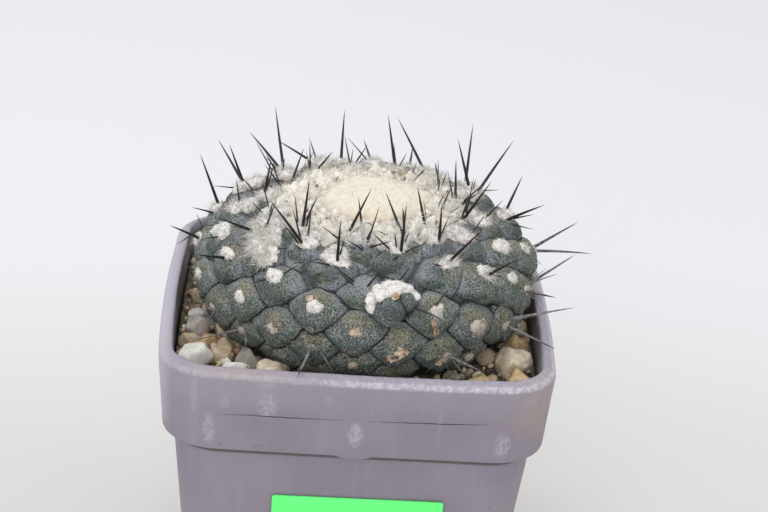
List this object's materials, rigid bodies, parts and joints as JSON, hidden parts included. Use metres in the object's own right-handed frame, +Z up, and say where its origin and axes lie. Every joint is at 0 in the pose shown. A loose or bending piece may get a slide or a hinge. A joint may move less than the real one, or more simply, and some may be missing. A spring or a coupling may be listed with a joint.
{
  "type": "potted cactus",
  "caption": "Low round cactus with tubercles, black spines and a woolly crown, in a square plastic pot topped with gravel.",
  "frame": {"origin": "middle of the pot's flat underside, on the surface that the pot stands on", "axes": "+Z up out of the pot, -Y towards the front wall that carries the label, +X to the right as seen from the front"},
  "size_m": [0.0677, 0.0682, 0.0798],
  "materials": {
    "pot_plastic": "satin",
    "label_paper": "matte",
    "potting_soil": "matte",
    "gravel_stone": "matte",
    "cactus_skin": "matte",
    "wool": "matte"
  },
  "bodies": {
    "root": {"pot": "pot_plastic", "label": "label_paper", "soil": "potting_soil", "gravel": "gravel_stone", "cactus": "cactus_skin", "crown_wool": "wool"}
  },
  "joints": []
}
